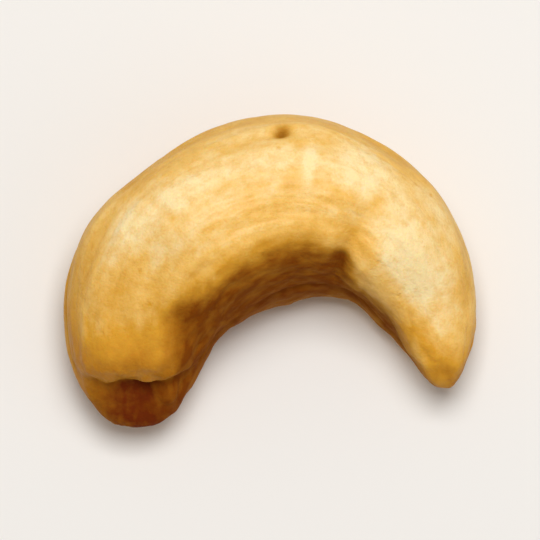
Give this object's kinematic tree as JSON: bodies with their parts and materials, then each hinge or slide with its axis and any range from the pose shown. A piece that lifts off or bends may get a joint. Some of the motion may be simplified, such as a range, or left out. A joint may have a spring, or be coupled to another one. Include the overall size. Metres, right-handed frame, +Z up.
{
  "type": "roasted cashew nut",
  "caption": "Roasted cashew kernel: a plump golden crescent with a blunt thick arm and a slimmer pointed arm, lying on its side.",
  "frame": {"origin": "on the surface it lies on, under the middle of its box", "axes": "+X across both arms from the blunt one to the pointed one, +Y from the bay to the crest of the back, +Z up through both halves"},
  "size_m": [0.0244, 0.0184, 0.0116],
  "materials": {
    "roasted_skin": "satin, golden roasted and lightly oily"
  },
  "bodies": {
    "root": {"kernel": "roasted_skin"}
  },
  "joints": []
}
